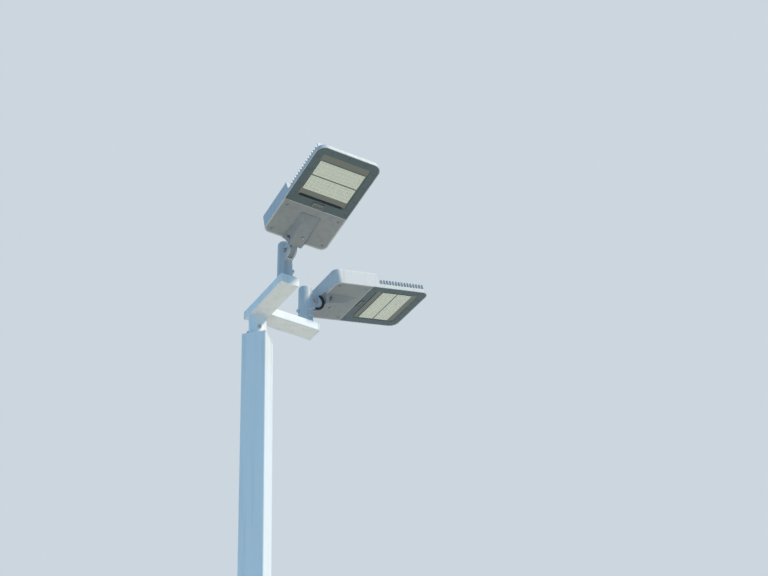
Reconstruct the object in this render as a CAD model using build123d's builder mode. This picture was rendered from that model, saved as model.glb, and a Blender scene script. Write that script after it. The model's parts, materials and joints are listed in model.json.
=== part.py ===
"""Street light: a square steel pole with a two-armed bracket and two tilting LED luminaires.

Millimetres, +Z up. The origin is the centre of the base plate's underside. The pole's faces look
along X and Y, and the bracket's arms run out along the two diagonals beside +X.
"""
from build123d import *
from math import cos, radians, sin
import os

os.makedirs("parts", exist_ok=True)

# General clearances
slip_gap = 0.3
running_gap = 0.05

# Base plate
plate_side = 280
plate_thickness = 20
plate_corner = 12
plate_bevel = 2
bolt_spacing = 198
bolt_hole_radius = 14
wire_hole_radius = 45

# Pole
pole_width = 127
pole_wall = 4.8
pole_corner = 9
pole_height = 7620
top_plate_thickness = 6
pole_tenon_radius = 38
pole_tenon_wall = 4
pole_tenon_height = 105

# Hand hole, on the face behind the luminaires
hand_hole_height = 460
hand_hole_width = 75
hand_hole_length = 130
hand_hole_corner = 22
hand_hole_frame_wall = 5
hand_hole_frame_depth = 26
cover_lap = 12
cover_sheet = 3
cover_bevel = 1

# Bracket
collar_radius = 44.5
collar_wall = 5
collar_height = 130
collar_screw_height = 45
collar_screw_count = 3
arm_width = 100
arm_height = 50
arm_wall = 4
arm_corner = 5
arm_reach = 327
arm_cap_thickness = 4
arm_yaw = 45
arm_wire_hole_radius = 22

# Upright tenons near the arm ends, and the slip fitters over them
tenon_to_arm_end = 53
tenon_radius = 30.15
tenon_wall = 3.9
tenon_height = 95
fitter_bore_gap = 0.85
fitter_lift = 3
fitter_height = 225
fitter_foot_radius = 38.5
fitter_top_radius = 35
fitter_bead_radius = 41
fitter_bead_height = 12
fitter_bead_slope = 6
fitter_top_round = 9
fitter_pad_radius = 11
fitter_pad_reach = 40.5

# Set screws: hexagon heads on short shanks
screw_radius = 5
screw_head_across = 17
screw_head_height = 7
screw_stand_off = 2
fitter_screw_low = 34
fitter_screw_high = 72

# Knuckle: two round cheeks on the fitter hold the neck's hub between them
hinge_ahead = 46
hinge_height = 150
cheek_radius = 40
cheek_thickness = 10
cheek_bevel = 2
cheek_web_slope = 23
cheek_boss_radius = 18
cheek_boss_height = 2
hub_radius = 34
hub_thickness = 24
hub_pocket_gap = 3
slot_back = 12
slot_end_gap = 12
knuckle_bolt_radius = 6
knuckle_washer_radius = 13
knuckle_washer_thickness = 2.5
knuckle_head_across = 19
knuckle_head_height = 8
rest_tilt = 13

# Luminaire, measured from the hinge axis: x forward, y left, z up, square to its underside
underside = 28
rear = 50
luminaire_length = 578
luminaire_width = 350
tip_corner = 45
rear_corner = 32

# Driver housing: a shell, open below, with a pad for the neck and posts for the cover's screws
housing_length = 265
housing_height = 86
housing_wall = 4.5
housing_front_slope = 6
housing_edge_round = 9
pad_thickness = 8
pad_margin = 10
pad_rib_spacing = 70
pad_rib_width = 5
post_radius = 8
post_inset = 24

# Cover of the driver housing
cover_length = 219
cover_rim = 8
cover_thickness = 6
cover_gap = 0.5
cover_screw_radius = 3
cover_counterbore_radius = 6.5
cover_counterbore_depth = 3

# Neck: hub, shoulders and the drafted wedge that runs forward under the housing
shoulder_gap = 14
neck_length = 178
neck_foot_rear = 124
neck_foot_front = 108
neck_face_rear = 70
neck_face_front = 64
neck_drop_rear = 46
neck_drop_front = 17
neck_edge_round = 7
neck_root_top = 20
neck_root_height = 24
neck_ramp_length = 45
neck_ramp_lip = 2
neck_bolt_ahead = 30
neck_bolt_spacing = 94
neck_pocket_radius = 9
neck_pocket_lip = 4

# Heat sink: a rimmed slab with a comb of cross fins
rim_height = 21
rim_wall = 4
fin_pitch = 18.5
fin_thickness = 3.6
fin_top = 56
fin_end_round = 12
fin_side_inset = 4
fin_tip_inset = 28
fin_housing_gap = 9

# Lens frame with its recess and the drip groove behind it, the two lens panels and the latch
frame_thickness = 8
frame_bevel = 1.5
recess_start = 272
recess_length = 264
recess_width = 264
recess_depth = 5
recess_corner = 10
recess_taper = 30
groove_width = 12
groove_lap = 3
groove_depth = 14
lens_length = 248
lens_width = 88
lens_divider = 6
lens_thickness = 3.5
lens_corner = 4
lens_edge_round = 1
latch_length = 28
latch_width = 64
latch_to_cover = 25
latch_drop = 5
latch_corner = 6
latch_bevel = 1.5
latch_grip_depth = 2
latch_grip_margin = 7

# Places worked out from the sizes above
shaft_length = pole_height - top_plate_thickness - plate_thickness
arm_floor = pole_height + collar_height
tenon_reach = arm_reach - tenon_to_arm_end
fitter_bore_radius = tenon_radius + fitter_bore_gap
pocket_radius = hub_radius + hub_pocket_gap
slot_reach = cheek_radius + slot_end_gap
cheek_inner = hub_thickness / 2
cheek_outer = cheek_inner + cheek_thickness
shoulder_radius = cheek_radius + shoulder_gap
seat = underside + cover_thickness
crown = underside + housing_height
rim_top = underside + rim_height
tip = rear + luminaire_length
housing_front = rear + housing_length
head_start = rear + cover_length
head_length = tip - head_start
head_middle = head_start + head_length / 2
cover_start = rear + cover_rim
cover_middle = (cover_start + head_start) / 2
screw_grid = (
    head_start - cover_start - 2 * post_inset,
    luminaire_width - 2 * (cover_rim + post_inset),
)
neck_front = rear + neck_length
neck_slope = (neck_drop_rear - neck_drop_front) / (neck_front - cheek_radius)
neck_drop_at_ramp = neck_drop_front + neck_slope * neck_ramp_length
groove_length = recess_width - 2 * recess_corner


def save(builder, name):
    """Labels a finished piece and writes it to its own file."""
    builder.part.label = name
    export_step(builder.part, f"parts/{name}.step")


def flat(frame, x=0, y=0, z=0):
    """Plane through a point of a frame, parallel to the frame's floor."""
    return Plane(frame.from_local_coords((x, y, z)), frame.x_dir, frame.z_dir)


def side_view(frame, y=0):
    """Upright plane along a frame's length: sketch x runs forward and sketch y up."""
    return Plane(frame.from_local_coords((0, y, 0)), frame.x_dir, -frame.y_dir)


def end_view(frame, x=0):
    """Upright plane across a frame, looking back: sketch x runs left and sketch y up."""
    return Plane(frame.from_local_coords((x, 0, 0)), frame.y_dir, frame.x_dir)


def turned(frame, angle):
    """Frame turned to the left about its own z."""
    turn = radians(angle)
    return Plane(frame.origin, frame.x_dir * cos(turn) + frame.y_dir * sin(turn), frame.z_dir)


def tipped(frame, angle):
    """Frame tipped about its own y, so that its x points up by the angle."""
    turn = radians(angle)
    return Plane(
        frame.origin,
        x_dir=frame.x_dir * cos(turn) + frame.z_dir * sin(turn),
        z_dir=frame.z_dir * cos(turn) - frame.x_dir * sin(turn),
    )


def make_pole():
    """Base plate, square shaft with its hand hole, top plate and tenon."""
    with BuildPart() as base_plate:
        with BuildSketch():
            RectangleRounded(plate_side, plate_side, plate_corner)
            Circle(wire_hole_radius, mode=Mode.SUBTRACT)
            with GridLocations(bolt_spacing, bolt_spacing, 2, 2):
                Circle(bolt_hole_radius, mode=Mode.SUBTRACT)
        extrude(amount=plate_thickness)
        chamfer(base_plate.faces().sort_by(Axis.Z)[-1].outer_wire().edges(), plate_bevel)
    save(base_plate, "base_plate")

    bore_width = pole_width - 2 * pole_wall
    back_face = Plane((-pole_width / 2, 0, hand_hole_height), x_dir=(0, -1, 0), z_dir=(-1, 0, 0))
    with BuildPart() as pole_shaft:
        with BuildSketch(Plane.XY.offset(plate_thickness)):
            RectangleRounded(pole_width, pole_width, pole_corner)
            RectangleRounded(bore_width, bore_width, pole_corner - pole_wall, mode=Mode.SUBTRACT)
        extrude(amount=shaft_length)
        with BuildSketch(back_face):
            RectangleRounded(hand_hole_width, hand_hole_length, hand_hole_corner)
        extrude(amount=-2 * pole_wall, mode=Mode.SUBTRACT)
    save(pole_shaft, "pole_shaft")

    with BuildPart() as hand_hole_frame:
        with BuildSketch(back_face):
            RectangleRounded(hand_hole_width, hand_hole_length, hand_hole_corner)
            offset(amount=-hand_hole_frame_wall, mode=Mode.SUBTRACT)
        extrude(amount=-hand_hole_frame_depth)
    save(hand_hole_frame, "hand_hole_frame")

    with BuildPart() as hand_hole_cover:
        with BuildSketch(back_face):
            RectangleRounded(
                hand_hole_width + 2 * cover_lap,
                hand_hole_length + 2 * cover_lap,
                hand_hole_corner + cover_lap,
            )
        extrude(amount=cover_sheet)
        chamfer(hand_hole_cover.faces().sort_by(Axis.X)[0].edges(), cover_bevel)
    save(hand_hole_cover, "hand_hole_cover")

    with BuildPart() as pole_top_plate:
        with BuildSketch(Plane.XY.offset(pole_height - top_plate_thickness)):
            RectangleRounded(pole_width, pole_width, pole_corner)
            Circle(pole_tenon_radius - pole_tenon_wall, mode=Mode.SUBTRACT)
        extrude(amount=top_plate_thickness)
    save(pole_top_plate, "pole_top_plate")

    with BuildPart() as pole_tenon:
        with BuildSketch(Plane.XY.offset(pole_height)):
            Circle(pole_tenon_radius)
            Circle(pole_tenon_radius - pole_tenon_wall, mode=Mode.SUBTRACT)
        extrude(amount=pole_tenon_height)
    save(pole_tenon, "pole_tenon")


def radial_frame(axis_frame, angle, reach, height):
    """Frame whose z runs out from a round part's axis, on its wall."""
    out = turned(axis_frame, angle)
    return Plane(out.from_local_coords((reach, 0, height)), x_dir=axis_frame.z_dir, z_dir=out.x_dir)


def make_set_screws(name, axis_frame, places, wall_radius, inner_radius):
    """Set screws through a round sleeve: shanks that reach the tenon, and hexagon heads."""
    with BuildPart() as set_screws:
        for angle, height in places:
            start = radial_frame(axis_frame, angle, inner_radius + slip_gap, height)
            shank = wall_radius + screw_stand_off - inner_radius - slip_gap
            with BuildSketch(start):
                Circle(screw_radius)
            extrude(amount=shank)
            with BuildSketch(start.offset(shank)):
                RegularPolygon(screw_head_across / 2, 6, major_radius=False)
            extrude(amount=screw_head_height)
    save(set_screws, name)


def collar_screw_places():
    """Set screws at even angles round the collar, the first one on the back."""
    return [(180 + 360 * turn / collar_screw_count, collar_screw_height) for turn in range(collar_screw_count)]


def make_collar():
    """Round collar that slips over the pole's tenon and carries the arms."""
    stand = Plane.XY.offset(pole_height)
    with BuildPart() as bracket_collar:
        with BuildSketch(stand):
            Circle(collar_radius)
            Circle(collar_radius - collar_wall, mode=Mode.SUBTRACT)
        extrude(amount=collar_height)
        for angle, height in collar_screw_places():
            with BuildSketch(radial_frame(stand, angle, 0, height)):
                Circle(screw_radius)
            extrude(amount=2 * collar_radius, mode=Mode.SUBTRACT)
    save(bracket_collar, "bracket_collar")
    make_set_screws("collar_set_screws", stand, collar_screw_places(), collar_radius, pole_tenon_radius)


def make_arm(side, arm_frame, keep):
    """One arm of the bracket: mitred box section, end cap and upright tenon."""
    with BuildPart() as arm:
        with BuildSketch(end_view(arm_frame, arm_reach - arm_cap_thickness)):
            with Locations((0, arm_height / 2)):
                RectangleRounded(arm_width, arm_height, arm_corner)
                RectangleRounded(
                    arm_width - 2 * arm_wall,
                    arm_height - 2 * arm_wall,
                    arm_corner - arm_wall,
                    mode=Mode.SUBTRACT,
                )
        extrude(amount=-(arm_reach + arm_width))
        split(bisect_by=Plane.XZ, keep=keep)
        with BuildSketch(flat(arm_frame, tenon_reach, 0, arm_height - arm_wall)):
            Circle(arm_wire_hole_radius)
        extrude(amount=arm_wall, mode=Mode.SUBTRACT)
        with BuildSketch(arm_frame):
            Circle(arm_wire_hole_radius)
        extrude(amount=arm_wall, mode=Mode.SUBTRACT)
    save(arm, f"bracket_arm_{side}")

    with BuildPart() as arm_cap:
        with BuildSketch(end_view(arm_frame, arm_reach - arm_cap_thickness)):
            with Locations((0, arm_height / 2)):
                RectangleRounded(arm_width, arm_height, arm_corner)
        extrude(amount=arm_cap_thickness)
    save(arm_cap, f"arm_end_cap_{side}")

    with BuildPart() as tenon:
        with BuildSketch(flat(arm_frame, tenon_reach, 0, arm_height)):
            Circle(tenon_radius)
            Circle(tenon_radius - tenon_wall, mode=Mode.SUBTRACT)
        extrude(amount=tenon_height)
    save(tenon, f"arm_tenon_{side}")


def fitter_screw_places(inner):
    """Two set screws on the fitter's inner side, toward the other arm, and one behind it."""
    return [(90 * inner, fitter_screw_low), (90 * inner, fitter_screw_high), (180, fitter_screw_high)]


def make_fitter(side, site, hinge, inner):
    """Slip fitter: a cast sleeve over the tenon with two round cheeks for the neck's hub."""
    with BuildPart() as fitter:
        with BuildSketch(side_view(hinge, cheek_outer)):
            Circle(cheek_radius)
            with BuildLine():
                Polyline(
                    (-hinge_ahead, -cheek_radius - cheek_web_slope),
                    (0, -cheek_radius),
                    (0, cheek_radius),
                    (-hinge_ahead, cheek_radius),
                    close=True,
                )
            make_face()
        extrude(amount=2 * cheek_outer)
        chamfer(fitter.faces().filter_by(Plane(hinge.origin, z_dir=hinge.y_dir)).edges(), cheek_bevel)
        with BuildSketch(side_view(hinge, cheek_outer + cheek_boss_height)):
            Circle(cheek_boss_radius)
        extrude(amount=2 * (cheek_outer + cheek_boss_height))
        with BuildSketch(side_view(site)) as profile:
            with BuildLine():
                Polyline(
                    (0, fitter_lift),
                    (fitter_bead_radius, fitter_lift),
                    (fitter_bead_radius, fitter_lift + fitter_bead_height),
                    (fitter_foot_radius, fitter_lift + fitter_bead_height + fitter_bead_slope),
                    (fitter_top_radius, fitter_height),
                    (0, fitter_height),
                    close=True,
                )
            make_face()
            fillet(profile.vertices().group_by(Axis.Y)[-1].sort_by(Axis.X)[-1], fitter_top_round)
        revolve(axis=Axis(site.origin, site.z_dir))
        for angle, height in fitter_screw_places(inner):
            with BuildSketch(radial_frame(site, angle, 0, height)):
                Circle(fitter_pad_radius)
            extrude(amount=fitter_pad_reach)
        with BuildSketch(flat(site, z=fitter_lift)):
            Circle(fitter_bore_radius)
        extrude(amount=tenon_height + slip_gap - fitter_lift, mode=Mode.SUBTRACT)
        with BuildSketch(side_view(hinge, cheek_inner)):
            Circle(pocket_radius)
            with BuildLine():
                Polyline(
                    (0, -slot_reach),
                    (slot_reach, -slot_reach),
                    (slot_reach, slot_reach),
                    (-slot_back, slot_reach),
                    (-slot_back, 0),
                    (0, 0),
                    close=True,
                )
            make_face()
        extrude(amount=hub_thickness, mode=Mode.SUBTRACT)
        with BuildSketch(side_view(hinge, cheek_outer + cheek_boss_height)):
            Circle(knuckle_bolt_radius + running_gap)
        extrude(amount=2 * (cheek_outer + cheek_boss_height), mode=Mode.SUBTRACT)
        for angle, height in fitter_screw_places(inner):
            with BuildSketch(radial_frame(site, angle, 0, height)):
                Circle(screw_radius)
            extrude(amount=fitter_pad_reach, mode=Mode.SUBTRACT)
    save(fitter, f"slip_fitter_{side}")
    make_set_screws(
        f"fitter_set_screws_{side}", site, fitter_screw_places(inner), fitter_pad_reach, tenon_radius
    )


def make_knuckle_bolt(side, hinge, outer):
    """Through bolt of the knuckle, with its head, nut and washers against the cheeks."""
    across = Plane(hinge.origin, x_dir=hinge.x_dir, z_dir=hinge.y_dir * outer)
    seat_face = cheek_outer + cheek_boss_height
    with BuildPart() as knuckle_bolt:
        with BuildSketch(across.offset(-seat_face)):
            Circle(knuckle_bolt_radius)
        extrude(amount=2 * seat_face)
        for face, way in ((seat_face, 1), (-seat_face, -1)):
            with BuildSketch(across.offset(face)):
                Circle(knuckle_washer_radius)
            extrude(amount=way * knuckle_washer_thickness)
            with BuildSketch(across.offset(face + way * knuckle_washer_thickness)):
                RegularPolygon(knuckle_head_across / 2, 6, major_radius=False)
            extrude(amount=way * knuckle_head_height)
    save(knuckle_bolt, f"knuckle_bolt_{side}")


def neck_section(foot, face, drop):
    """Corners of the neck's cross section: a foot on the housing and a narrower face below."""
    return [
        (-foot / 2, seat),
        (foot / 2, seat),
        (foot / 2, underside),
        (face / 2, underside - drop),
        (-face / 2, underside - drop),
        (-foot / 2, underside),
    ]


def neck_bolt_places(head, height):
    """Plane on the neck at the two bolts that hold it to the housing."""
    return flat(head, rear + neck_bolt_ahead, 0, height)


def make_neck(side, head):
    """Neck casting: hub between the cheeks, hollowed shoulders and a drafted wedge under the housing."""
    hub_width = hub_thickness - 2 * slip_gap
    up = Axis(head.origin, head.z_dir)
    forward = Axis(head.origin, head.x_dir)
    with BuildPart() as neck:
        with BuildSketch(end_view(head, cheek_radius)):
            with BuildLine():
                Polyline(*neck_section(neck_foot_rear, neck_face_rear, neck_drop_rear), close=True)
            make_face()
        with BuildSketch(end_view(head, neck_front)):
            with BuildLine():
                Polyline(*neck_section(neck_foot_front, neck_face_front, neck_drop_front), close=True)
            make_face()
        loft()
        lower_face = neck.faces().sort_by(up)[0]
        front_face = neck.faces().sort_by(forward)[-1]
        round_edges = lower_face.edges().sort_by(forward)[1:] + front_face.edges().sort_by(up)[1:3]
        fillet(round_edges, neck_edge_round)
        with BuildSketch(side_view(head, luminaire_width / 2)):
            with BuildLine():
                Polyline(
                    (neck_front - neck_ramp_length, underside - neck_drop_at_ramp),
                    (neck_front, underside - neck_ramp_lip),
                    (neck_front, underside - neck_drop_rear),
                    (neck_front - neck_ramp_length, underside - neck_drop_rear),
                    close=True,
                )
            make_face()
        extrude(amount=luminaire_width, mode=Mode.SUBTRACT)
        with BuildSketch(side_view(head, luminaire_width / 2)):
            Circle(shoulder_radius)
            with Locations((-shoulder_radius, 0)):
                Rectangle(2 * shoulder_radius, 4 * shoulder_radius)
        extrude(amount=luminaire_width, mode=Mode.SUBTRACT)
        with BuildSketch(side_view(head, hub_width / 2)):
            Circle(hub_radius)
            with Locations((shoulder_radius, neck_root_top - neck_root_height / 2)):
                Rectangle(2 * shoulder_gap, neck_root_height)
            make_hull()
        extrude(amount=hub_width)
        with BuildSketch(side_view(head, hub_width / 2)):
            Circle(knuckle_bolt_radius + running_gap)
        extrude(amount=hub_width, mode=Mode.SUBTRACT)
        with BuildSketch(neck_bolt_places(head, underside - neck_pocket_lip)):
            with GridLocations(0, neck_bolt_spacing, 1, 2):
                Circle(neck_pocket_radius)
        extrude(amount=-neck_drop_rear, mode=Mode.SUBTRACT)
    save(neck, f"knuckle_neck_{side}")


def neck_slot(gap):
    """Corners of the slot that the neck's foot takes in the cover and the housing's rear rim."""
    half_rear = neck_foot_rear / 2 + gap
    half_front = neck_foot_front / 2 + gap
    end = neck_front + gap
    return [(rear, half_rear), (end, half_front), (end, -half_front), (rear, -half_rear)]


def make_cavity(head):
    """The hollow of the driver housing, less the neck's pad with its ribs and the screw posts."""
    half_width = luminaire_width / 2 - housing_wall
    with BuildPart() as cavity:
        with BuildSketch(side_view(head, half_width)):
            with BuildLine():
                Polyline(
                    (rear + housing_wall, seat),
                    (head_start, seat),
                    (head_start, rim_top + housing_wall),
                    (housing_front - housing_wall, rim_top + housing_wall),
                    (housing_front - housing_front_slope - housing_wall, crown - housing_wall),
                    (rear + housing_wall, crown - housing_wall),
                    close=True,
                )
            make_face()
        extrude(amount=2 * half_width)
        with BuildSketch(flat(head, rear + housing_length / 2, 0, underside)) as plan:
            Rectangle(housing_length - 2 * housing_wall, 2 * half_width)
            fillet(plan.vertices().group_by(Axis.X)[0], rear_corner - housing_wall)
        extrude(amount=housing_height, mode=Mode.INTERSECT)
        with BuildSketch(flat(head, rear, 0, seat)):
            Rectangle(2 * (neck_length + pad_margin), neck_foot_rear + 2 * pad_margin)
        extrude(amount=pad_thickness, mode=Mode.SUBTRACT)
        with BuildSketch(flat(head, rear, 0, seat)):
            with GridLocations(0, pad_rib_spacing, 1, 2):
                Rectangle(2 * neck_length, pad_rib_width)
            with Locations((cover_middle - rear, 0)):
                with GridLocations(*screw_grid, 2, 2):
                    Circle(post_radius)
        extrude(amount=housing_height, mode=Mode.SUBTRACT)
    return cavity.part


def make_housing(side, head):
    """Driver housing, raised above the fins, and the cover that closes it from below."""
    up = Axis(head.origin, head.z_dir)
    half_width = luminaire_width / 2
    with BuildPart() as housing:
        with BuildSketch(side_view(head, half_width)):
            with BuildLine():
                Polyline(
                    (rear, underside),
                    (head_start, underside),
                    (head_start, rim_top),
                    (housing_front, rim_top),
                    (housing_front - housing_front_slope, crown),
                    (rear, crown),
                    close=True,
                )
            make_face()
        extrude(amount=luminaire_width)
        with BuildSketch(flat(head, rear + housing_length / 2, 0, underside)) as plan:
            Rectangle(housing_length, luminaire_width)
            fillet(plan.vertices().group_by(Axis.X)[0], rear_corner)
        extrude(amount=housing_height, mode=Mode.INTERSECT)
        fillet(housing.faces().sort_by(up)[-1].edges(), housing_edge_round)
        add(make_cavity(head), mode=Mode.SUBTRACT)
        with BuildSketch(flat(head, z=underside)) as pocket:
            with Locations((cover_middle, 0)):
                Rectangle(head_start - cover_start, luminaire_width - 2 * cover_rim)
            fillet(pocket.vertices().group_by(Axis.X)[0], rear_corner - cover_rim)
        extrude(amount=cover_thickness, mode=Mode.SUBTRACT)
        with BuildSketch(flat(head, z=underside)):
            with BuildLine():
                Polyline(*neck_slot(cover_gap), close=True)
            make_face()
        extrude(amount=cover_thickness, mode=Mode.SUBTRACT)
    save(housing, f"driver_housing_{side}")

    with BuildPart() as cover:
        with BuildSketch(flat(head, z=underside)) as sheet:
            with Locations((cover_middle, 0)):
                Rectangle(
                    head_start - cover_start - 2 * cover_gap,
                    luminaire_width - 2 * (cover_rim + cover_gap),
                )
            fillet(sheet.vertices().group_by(Axis.X)[0], rear_corner - cover_rim - cover_gap)
            with BuildLine():
                Polyline(*neck_slot(cover_gap), close=True)
            make_face(mode=Mode.SUBTRACT)
        extrude(amount=cover_thickness)
        with Locations(flat(head, cover_middle, 0, underside)):
            with GridLocations(*screw_grid, 2, 2):
                Cylinder(cover_screw_radius, 2 * cover_thickness, mode=Mode.SUBTRACT)
                Cylinder(cover_counterbore_radius, 2 * cover_counterbore_depth, mode=Mode.SUBTRACT)
    save(cover, f"driver_cover_{side}")


def make_fins(head):
    """Comb of cross fins with rounded ends, as many as fit between the housing and the tip."""
    fin_width = luminaire_width - 2 * fin_side_inset
    fin_room = tip - fin_tip_inset - fin_thickness - housing_front - fin_housing_gap
    fin_count = int(fin_room / fin_pitch) + 1
    fin_middle = tip - fin_tip_inset - (fin_thickness + fin_pitch * (fin_count - 1)) / 2
    with BuildPart() as fins:
        with BuildSketch(flat(head, fin_middle, 0, rim_top)):
            with GridLocations(fin_pitch, 0, fin_count, 1):
                Rectangle(fin_thickness, fin_width)
        extrude(amount=fin_top - rim_height)
        with BuildSketch(end_view(head, head_start)) as profile:
            with Locations((0, underside)):
                Rectangle(fin_width, 2 * fin_top)
            fillet(profile.vertices().group_by(Axis.Y)[-1], fin_end_round)
        extrude(amount=head_length, mode=Mode.INTERSECT)
        with BuildSketch(flat(head, head_middle, 0, rim_top)) as plan:
            Rectangle(head_length - 2 * fin_side_inset, fin_width)
            fillet(plan.vertices().group_by(Axis.X)[-1], tip_corner - fin_side_inset)
        extrude(amount=fin_top, mode=Mode.INTERSECT)
    return fins.part


def drip_groove_middle(head):
    """Plane on the underside at the middle of the groove along the recess's rear edge."""
    return flat(head, rear + recess_start - groove_lap + groove_width / 2, 0, underside)


def make_heat_sink(side, head):
    """Head casting: a rimmed slab with rounded tip corners, and the fins on top of it."""
    with BuildPart() as heat_sink:
        with BuildSketch(flat(head, head_middle, 0, underside)) as plan:
            Rectangle(head_length, luminaire_width)
            fillet(plan.vertices().group_by(Axis.X)[-1], tip_corner)
        extrude(amount=rim_height)
        with BuildSketch(flat(head, head_middle, 0, underside)) as pocket:
            Rectangle(head_length - 2 * rim_wall, luminaire_width - 2 * rim_wall)
            fillet(pocket.vertices().group_by(Axis.X)[-1], tip_corner - rim_wall)
        extrude(amount=frame_thickness, mode=Mode.SUBTRACT)
        with BuildSketch(drip_groove_middle(head)):
            SlotOverall(groove_length, groove_width, rotation=90)
        extrude(amount=groove_depth, mode=Mode.SUBTRACT)
        add(make_fins(head))
    save(heat_sink, f"heat_sink_{side}")


def make_optics(side, head):
    """Dark lens frame with its recess, the two lens panels in it and the latch behind it."""
    recess_middle = rear + recess_start + recess_length / 2
    inset = rim_wall + slip_gap
    up = Axis(head.origin, head.z_dir)
    with BuildPart() as lens_frame:
        with BuildSketch(flat(head, head_middle, 0, underside)) as plate:
            Rectangle(head_length - 2 * inset, luminaire_width - 2 * inset)
            fillet(plate.vertices().group_by(Axis.X)[-1], tip_corner - inset)
        extrude(amount=frame_thickness)
        chamfer(lens_frame.faces().sort_by(up)[0].edges(), frame_bevel)
        with BuildSketch(flat(head, recess_middle, 0, underside)):
            RectangleRounded(recess_length, recess_width, recess_corner)
        extrude(amount=recess_depth, taper=recess_taper, mode=Mode.SUBTRACT)
        with BuildSketch(drip_groove_middle(head)):
            SlotOverall(groove_length, groove_width, rotation=90)
        extrude(amount=frame_thickness, mode=Mode.SUBTRACT)
    save(lens_frame, f"lens_frame_{side}")

    for name, way in (("front", 1), ("rear", -1)):
        centre = recess_middle + way * (lens_width + lens_divider) / 2
        with BuildPart() as lens:
            with BuildSketch(flat(head, centre, 0, underside + recess_depth)):
                RectangleRounded(lens_width, lens_length, lens_corner)
            extrude(amount=-lens_thickness)
            fillet(lens.faces().sort_by(up)[0].edges(), lens_edge_round)
        save(lens, f"lens_panel_{name}_{side}")

    with BuildPart() as latch:
        with BuildSketch(flat(head, head_start + latch_to_cover, 0, underside)):
            RectangleRounded(latch_length, latch_width, latch_corner)
        extrude(amount=-latch_drop)
        chamfer(latch.faces().sort_by(up)[0].edges(), latch_bevel)
        with BuildSketch(flat(head, head_start + latch_to_cover, 0, underside - latch_drop)):
            SlotOverall(latch_width - 2 * latch_grip_margin, latch_length - 2 * latch_grip_margin, rotation=90)
        extrude(amount=latch_grip_depth, mode=Mode.SUBTRACT)
    save(latch, f"cover_latch_{side}")


def make_side(side, way, keep):
    """Everything on one arm: the arm itself, its fitter and its luminaire."""
    arm_frame = turned(Plane.XY.offset(arm_floor), way * arm_yaw)
    site = flat(arm_frame, tenon_reach, 0, arm_height)
    hinge = flat(site, hinge_ahead, 0, hinge_height)
    head = tipped(hinge, rest_tilt)
    make_arm(side, arm_frame, keep)
    make_fitter(side, site, hinge, -way)
    make_knuckle_bolt(side, hinge, way)
    make_neck(side, head)
    make_housing(side, head)
    make_heat_sink(side, head)
    make_optics(side, head)


make_pole()
make_collar()
make_side("left", 1, Keep.BOTTOM)
make_side("right", -1, Keep.TOP)
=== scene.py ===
# %% [markdown]
# # A street light with two luminaires
#
# The CAD model gives every solid of the light its exact place: a square pole, a bracket with two
# arms, two slip fitters and two LED luminaires. This lesson dresses that model. It gives each
# solid a finish and adds what a CAD model leaves out: welds, screw heads, lens domes and seals.

# %% Load the frame
import json
from math import cos, hypot, pi, radians, sin, tan

import bmesh
import bpy
from mathutils import Matrix, Vector


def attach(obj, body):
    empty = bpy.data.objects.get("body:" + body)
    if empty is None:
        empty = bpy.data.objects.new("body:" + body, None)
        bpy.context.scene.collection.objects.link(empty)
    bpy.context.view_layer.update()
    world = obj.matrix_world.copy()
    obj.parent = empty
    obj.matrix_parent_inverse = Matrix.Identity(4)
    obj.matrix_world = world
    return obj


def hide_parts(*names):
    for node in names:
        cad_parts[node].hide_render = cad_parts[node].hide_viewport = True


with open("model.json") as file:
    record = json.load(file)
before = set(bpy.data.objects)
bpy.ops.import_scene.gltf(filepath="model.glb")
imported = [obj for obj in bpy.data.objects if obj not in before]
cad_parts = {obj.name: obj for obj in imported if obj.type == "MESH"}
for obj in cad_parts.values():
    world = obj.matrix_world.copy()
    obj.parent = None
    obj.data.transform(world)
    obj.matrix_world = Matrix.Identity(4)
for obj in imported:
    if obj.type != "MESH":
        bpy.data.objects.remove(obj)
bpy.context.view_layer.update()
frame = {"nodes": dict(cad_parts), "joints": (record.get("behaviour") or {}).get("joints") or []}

scene = bpy.context.scene


def rounded(numbers, places=3):
    """Numbers rounded for printing."""
    return tuple(round(number, places) for number in numbers)


def link_new(name, data):
    """New object that holds the data, linked to the scene."""
    made = bpy.data.objects.new(name, data)
    scene.collection.objects.link(made)
    return made


# %% [markdown]
# ## Where things are
#
# Each luminaire hangs on a hinge and is tilted up a little, so its parts are hard to place in the
# frame of the whole light. It is easier to place them in the luminaire's own frame, with x
# running out to its tip, y to its left and z up out of its roof. A 4 x 4 matrix turns such a
# place into the frame of the whole light. Each side gets three of them: one at the foot of its
# fitter, one at its hinge, and one at the hinge that is tilted with the luminaire. They come from
# the model's own joints, so nothing is placed twice.

# %% The luminaires' own frames
MM = 0.001
UP = Vector((0, 0, 1))
REST_TILT = radians(13)
SIDES = ("left", "right")
joints = {joint["name"]: joint for joint in frame["joints"]}


def own_frame(origin, ahead, tilt=0.0):
    """Matrix of a frame whose x points ahead, tipped up by the tilt, and whose y is level."""
    forward = ahead * cos(tilt) + UP * sin(tilt)
    out = UP * cos(tilt) - ahead * sin(tilt)
    turned = Matrix((forward, UP.cross(ahead), out)).transposed()
    return Matrix.Translation(origin) @ turned.to_4x4()


sites = {}
hinges = {}
heads = {}
for side in SIDES:
    left = -Vector(joints[f"tilt_{side}"]["axis"])
    ahead = left.cross(UP).normalized()
    hinge = Vector(joints[f"tilt_{side}"]["pos_m"])
    sites[side] = own_frame(Vector(joints[f"swivel_{side}"]["pos_m"]), ahead)
    hinges[side] = own_frame(hinge, ahead)
    heads[side] = own_frame(hinge, ahead, REST_TILT)
    print(side, "luminaire points along", rounded(heads[side].col[0][:3]))

# %% [markdown]
# ## Measuring the CAD solids
#
# A screw head has to sit on its surface, so its place is measured from the solid that carries it.
# The function gives a solid's lowest and highest place along the axes of any frame.

# %% Measure a solid in a frame


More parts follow.
